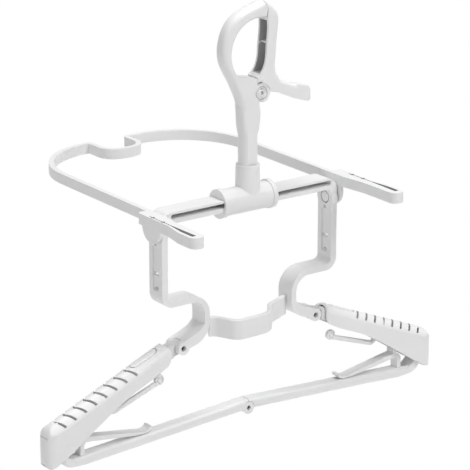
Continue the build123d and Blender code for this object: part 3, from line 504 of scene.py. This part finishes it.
def roundedBox(wide, high, radius, steps):
    # a box's corner centres, plus the radius turned through a quarter circle at each
    turn = (np.arange(4)[:, None] + np.linspace(0, 1, steps)) * math.pi / 2
    middles = np.array([[1, 1], [-1, 1], [-1, -1], [1, -1]]) * (np.array([wide, high]) / 2 - radius)
    return (middles[:, None] + radius * np.stack([np.cos(turn), np.sin(turn)], axis=2)).reshape(-1, 2)


def gridFaces(rows, columns):
    # quads between neighbouring rows of a grid whose columns close into a ring
    first = np.arange((rows - 1) * columns).reshape(rows - 1, columns)
    beside = first - first % columns + (first + 1) % columns
    return np.stack([first, beside, beside + columns, first + columns], axis=-1).reshape(-1, 4).tolist()


def newPiece(node, points, flipped):
    # rows of points joined by quads, with the first and the last row closed by a flat face
    rows, columns = points.shape[:2]
    lastRow = list(range((rows - 1) * columns, rows * columns))
    faces = gridFaces(rows, columns) + [list(range(columns))[::-1], lastRow]
    if flipped:
        faces = [face[::-1] for face in faces]
    mesh = bpy.data.meshes.new(pieceName(node))
    mesh.from_pydata(points.reshape(-1, 3).tolist(), [], faces)
    mesh.polygons.foreach_set("use_smooth", [True] * len(mesh.polygons))
    piece = bpy.data.objects.new(pieceName(node), mesh)
    bpy.context.scene.collection.objects.link(piece)
    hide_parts(node)
    dress(piece, node)
    return piece


def turnedPiece(node, middle, rings, turn, shadeMaterial, recessRings, endsInRecess):
    # rings round an axis along Y, from one end's middle out to its rim and back on the other end
    rings = [(reach, -depth) for reach, depth in rings] + [(reach, depth) for reach, depth in reversed(rings)]
    reaches = np.array([np.broadcast_to(reach, turn.shape) for reach, depth in rings])
    depths = middle[1] + np.array([depth for reach, depth in rings])[:, None]
    points = np.stack([middle[0] + reaches * np.cos(turn), np.broadcast_to(depths, reaches.shape),
                       middle[2] + reaches * np.sin(turn)], axis=-1)
    piece = newPiece(node, points, True)
    rows, columns = reaches.shape
    ringOf = np.arange((rows - 1) * columns) // columns
    sunk = np.isin(np.minimum(ringOf, rows - 2 - ringOf), recessRings)
    # the sunk rings, and the ends where asked, take the material of painted shade
    paintFaces(piece, shadeMaterial, np.concatenate([sunk, [endsInRecess, endsInRecess]]))
    return piece


def paintFaces(piece, material, chosen):
    piece.data.materials.append(material)
    piece.data.polygons.foreach_set("material_index", chosen.astype(int))


neckBand = {
    "corners": ((-0.0446, -0.0069), (-0.037, -0.00915), (-0.028, -0.0286), (0.007, -0.028),
                (0.0189, -0.01144), (0.0446, 0.0002)),
    "radii": (0.006, 0.011, 0.019, 0.012), "spacing": 0.0007,
    "thickness": 0.0038, "height": 0.017, "topDrop": 0.095, "edgeRadius": 0.0011, "edgePoints": 6,
    "necksInside": 0.0418,  # cut off just inside the necks' walls
    "creaseAngle": 50, "creaseRadius": 0.0006, "creaseSegments": 2,
}


def makeNeckBand(look):
    # a rounded box carried along the bent front line, set back by half the ribbon's thickness
    line = roundedLine(look["corners"], look["radii"], look["spacing"])
    line = line[np.abs(line[:, 0]) < look["necksInside"]]
    path = np.column_stack([line, np.full(len(line), -hangDrop - look["topDrop"] - look["height"] / 2)])
    along = np.gradient(path, axis=0)
    along /= np.linalg.norm(along, axis=1, keepdims=True)
    across = np.cross((0, 0, 1), along)
    profile = roundedBox(look["thickness"], look["height"], look["edgeRadius"], look["edgePoints"])
    back = (profile[:, 0] + look["thickness"] / 2)[None, :, None] * across[:, None]
    points = path[:, None] + back + profile[:, 1][None, :, None] * np.array((0.0, 0.0, 1.0))
    piece = newPiece("neck_band", points, False)
    bevelCreases(piece, look["creaseAngle"], look["creaseRadius"], look["creaseSegments"])


gatePin = {
    "place": (0.012, 0.0, -0.0591), "radius": 0.0028, "length": 0.0124, "rim": 0.00035,
    "keyRadius": 0.0016, "keyFlat": 0.0008, "keyDepth": 0.0009, "around": 96,
    "floorShare": 0.96, "closingShare": 0.02,  # of the key's radius, where its floor bends up and closes
    "creaseAngle": 50, "creaseRadius": 0.00008, "creaseSegments": 2,
}


def makeGatePin(look):
    # at each ring a distance from the pin's axis, cut flat on one side inside the key
    turn = np.linspace(0, 2 * math.pi, look["around"], endpoint=False)
    toFlat = np.cos(turn - math.pi)
    flatSide = look["keyFlat"] / np.maximum(toFlat, leastLength)
    key = np.where(toFlat > 0, np.minimum(look["keyRadius"], flatSide), look["keyRadius"])
    half, rim = look["length"] / 2, look["rim"]
    floor = half - look["keyDepth"]
    rings = [(key * look["closingShare"], floor), (key * look["floorShare"], floor), (key, floor + rim / 2),
             (key, half - rim / 3), (key + rim / 3, half), (look["radius"] - rim, half),
             (look["radius"], half - rim)]
    # the key's floor and walls, and the ends inside it, take a dark grey of painted shade
    piece = turnedPiece("gate_pin", look["place"], rings, turn, channelShade, (0, 1, 2), True)
    bevelCreases(piece, look["creaseAngle"], look["creaseRadius"], look["creaseSegments"])


hollowPin = {
    "coreShare": 0.5, "coreSink": 0.0003, "ringSink": 0.0016, "rimShare": 0.93, "rim": 0.0002, "around": 64,
    "flatShare": 0.9, "closingShare": 0.02,  # of the core's radius, where its face bends down and closes
    "creaseAngle": 40, "creaseRadius": 0.00005, "creaseSegments": 1,
}


def makeHollowPin(node, look):
    # a bright core in a deep ring inside a thin rim, the same at both ends; the ring's near-black is painted
    # shade
    low, high = [np.array(corner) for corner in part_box(node)]
    half, radius = (high[1] - low[1]) / 2, (high[2] - low[2]) / 2
    core, inner, rim = radius * look["coreShare"], radius * look["rimShare"], look["rim"]
    coreTop, ringFloor = half - look["coreSink"], half - look["ringSink"]
    rings = [(core * look["closingShare"], coreTop), (core * look["flatShare"], coreTop),
             (core, coreTop - rim), (core, ringFloor), (inner, ringFloor), (inner, half - rim),
             ((inner + radius) / 2, half), (radius, half - rim)]
    turn = np.linspace(0, 2 * math.pi, look["around"], endpoint=False)
    piece = turnedPiece(node, (low + high) / 2, rings, turn, pinRecess, (2, 3, 4), False)
    bevelCreases(piece, look["creaseAngle"], look["creaseRadius"], look["creaseSegments"])


makeNeckBand(neckBand)
makeGatePin(gatePin)
for node in ("arm_pin_left", "arm_pin_right", "centre_pin"):
    makeHollowPin(node, hollowPin)
newKinds = ("neck_band", "gate_pin", "arm_pin", "centre_pin")
print("new surfaces made")

channel = {
    "halfWidth": 0.00465, "low": -0.0433, "high": -0.0012, "ribHeight": -0.0198, "ribHalf": 0.0009,
    "facingMost": 0.3,
}


def channelFaces(middles, normals, look):
    # the gate's hollow keeps a duller skin than its polished outside, and its darker grey is painted shade
    inside = (middles[:, 2] > look["low"]) & (middles[:, 2] < look["high"])
    inside &= (np.abs(middles[:, 1]) < look["halfWidth"]) & (normals[:, 0] < look["facingMost"])
    return inside & (np.abs(middles[:, 2] - look["ribHeight"]) >= look["ribHalf"])


cavity = {"halfWidth": 0.0072, "facingDown": -0.2, "facingMiddle": -0.5}


def cavityFaces(middles, normals, look):
    # the arm's hollow keeps the tool's rougher skin, and its darker grey is painted shade
    toMiddle = normals[:, 1] * np.sign(middles[:, 1]) < look["facingMiddle"]
    return (np.abs(middles[:, 1]) < look["halfWidth"]) & ((normals[:, 2] < look["facingDown"]) | toMiddle)


slotPlace = {
    "pivot": (0.012, -0.0591), "halfWidth": 0.00325, "reach": 0.0125,
    "ringFrom": 0.0046, "ringTo": 0.0057, "ringLow": 0.00425, "ringHigh": 0.0064,
}


def slotFaces(middles, normals, look):
    # painted shade: the deep slot for the gate's tongue, and the fine ring cut round the pivot, take a dark
    # grey
    away = np.hypot(middles[:, 0] - look["pivot"][0], middles[:, 2] - look["pivot"][1])
    height = np.abs(middles[:, 1])
    slot = (height < look["halfWidth"]) & (away < look["reach"])
    ring = (away > look["ringFrom"]) & (away < look["ringTo"])
    return slot | (ring & (height > look["ringLow"]) & (height < look["ringHigh"]))


slit = {
    "innerSide": 0.0970, "middle": 0.0986, "outerSide": 0.1013, "front": -0.0706, "back": -0.0085,
    "facing": 0.5,
}


def slitFaces(middles, normals, look):
    # painted shade on the walls of the hairpin's narrow slit, which face each other
    reach, facing = np.abs(middles[:, 0]), normals[:, 0] * np.sign(middles[:, 0])
    inner = (facing > look["facing"]) & (reach > look["innerSide"]) & (reach < look["middle"])
    outer = (facing < -look["facing"]) & (reach > look["middle"]) & (reach < look["outerSide"])
    return (inner | outer) & (middles[:, 1] > look["front"]) & (middles[:, 1] < look["back"])


shades = {  # kind of node: which of its faces take which darker material of painted shade
    "hood_loop": (slitFaces, slit, channelShade), "hook_body": (slotFaces, slotPlace, channelShade),
    "hook_gate": (channelFaces, channel, channelShade), "arm_shell": (cavityFaces, cavity, cavitySkin),
}
softer = {  # kind of node: how its outside is rounded further
    "hook_body": (softenPlate, hookSoftness), "hook_gate": (softenPlate, gateSoftness),
    "arm_shell": (softenArmEnd, armSoftness),
}
for node, solid in frame["nodes"].items():
    kind = kindOf(node)
    if kind in newKinds:
        continue
    if kind not in mouldedEdges and kind not in broadEdges:
        solid.data.materials.clear()
        solid.data.materials.append(nodeFinish.get(kind, whiteShell))
        continue
    piece = roundNode(node, kind in softer)
    if kind in softer:
        soften, look = softer[kind]
        soften(piece, look)
        print(piece.name, "softened,", len(piece.data.polygons), "faces")
    if kind in shades:
        choose, look, material = shades[kind]
        faces = piece.data.polygons
        paintFaces(piece, material, choose(readVectors(faces, "center"), readVectors(faces, "normal"), look))
print("solids dressed")

studio = {
    "floorHeight": -0.62, "floorSize": 24.0, "floorColour": (0.86, 0.86, 0.86, 1), "floorRoughness": 0.9,
    "floorGlow": 1.0,  # at 1 the eye sees plain white, below 1 the floor shows the object's shadow
    "worldStrength": 0.31,  # light from all round; the camera sees the world as white
}
lamps = {
    "keyLamp": {"place": (0.7, -1.6, 1.7), "target": (0, 0, -0.15), "size": 1.0, "power": 29},
    "topLamp": {"place": (0.25, 0.3, 2.2), "target": (0, 0, -0.1), "size": 1.4, "power": 35},
    "fillLamp": {"place": (-1.9, -0.8, 0.3), "target": (0, 0, -0.1), "size": 1.2, "power": 7},
}
photoCamera = {
    "place": (-1.0936, -1.4883, 0.4296), "back": (-0.5594, -0.7680, 0.3118),
    "lens": 184.9, "sensorWidth": 36.0, "clipStart": 0.05, "shift": (-0.00064, 0.0001),
}


def seenByEye(tree):
    # 1 for what the camera sees, directly or in a gloss or through glass
    path = addNode(tree, "ShaderNodeLightPath")
    first = addNode(tree, "ShaderNodeMath", operation="MAXIMUM")
    second = addNode(tree, "ShaderNodeMath", operation="MAXIMUM")
    join(tree,
         (path.outputs["Is Camera Ray"], first.inputs[0]),
         (path.outputs["Is Transmission Ray"], first.inputs[1]),
         (first.outputs[0], second.inputs[0]), (path.outputs["Is Glossy Ray"], second.inputs[1]))
    return second.outputs[0]


def makeWorld(look):
    world = bpy.data.worlds.new("studioAir")
    bpy.context.scene.world = world
    world.use_nodes = True
    tree = world.node_tree
    sky = tree.nodes["Background"]
    sky.inputs["Color"].default_value = (1, 1, 1, 1)
    strength = addNode(tree, "ShaderNodeMapRange", {"To Min": look["worldStrength"], "To Max": 1.0})
    path = addNode(tree, "ShaderNodeLightPath")
    join(tree,
         (path.outputs["Is Camera Ray"], strength.inputs["Value"]),
         (strength.outputs[0], sky.inputs["Strength"]))


def makeFloor(look):
    half, high = look["floorSize"] / 2, look["floorHeight"]
    mesh = bpy.data.meshes.new("studioFloor")
    mesh.from_pydata([(-half, -half, high), (half, -half, high), (half, half, high), (-half, half, high)],
                     [], [(0, 1, 2, 3)])
    floor = bpy.data.objects.new("studioFloor", mesh)
    bpy.context.scene.collection.objects.link(floor)
    material = bpy.data.materials.new("paleFloor")
    material.use_nodes = True
    tree = material.node_tree
    shader = tree.nodes["Principled BSDF"]
    shader.inputs["Base Color"].default_value = look["floorColour"]
    shader.inputs["Roughness"].default_value = look["floorRoughness"]
    shader.inputs["Specular IOR Level"].default_value = 0.0
    glow = addNode(tree, "ShaderNodeEmission", {"Strength": 1.0})
    blend = addNode(tree, "ShaderNodeMixShader")
    share = addNode(tree, "ShaderNodeMath", {1: look["floorGlow"]}, operation="MULTIPLY")
    join(tree,
         (seenByEye(tree), share.inputs[0]), (share.outputs[0], blend.inputs[0]),
         (shader.outputs[0], blend.inputs[1]), (glow.outputs[0], blend.inputs[2]),
         (blend.outputs[0], tree.nodes["Material Output"].inputs["Surface"]))
    mesh.materials.append(material)


def softLamp(name, look):
    light = bpy.data.lights.new(name, "AREA")
    light.shape = "DISK"
    light.size = look["size"]
    light.energy = look["power"]
    lamp = bpy.data.objects.new(name, light)
    lamp.location = look["place"]
    lamp.rotation_mode = "QUATERNION"
    lamp.rotation_quaternion = (Vector(look["target"]) - Vector(look["place"])).to_track_quat("-Z", "Y")
    bpy.context.scene.collection.objects.link(lamp)


def makeCamera(look):
    lens = bpy.data.cameras.new("photoCamera")
    lens.lens = look["lens"]
    lens.sensor_width = look["sensorWidth"]
    lens.clip_start = look["clipStart"]
    lens.shift_x, lens.shift_y = look["shift"]
    camera = bpy.data.objects.new("photoCamera", lens)
    camera.location = look["place"]
    camera.rotation_mode = "QUATERNION"
    camera.rotation_quaternion = Vector(look["back"]).to_track_quat("Z", "Y")
    bpy.context.scene.collection.objects.link(camera)
    bpy.context.scene.camera = camera


makeWorld(studio)
makeFloor(studio)
for name, look in lamps.items():
    softLamp(name, look)
makeCamera(photoCamera)
bpy.context.scene.view_settings.view_transform = "Standard"
print("studio set")
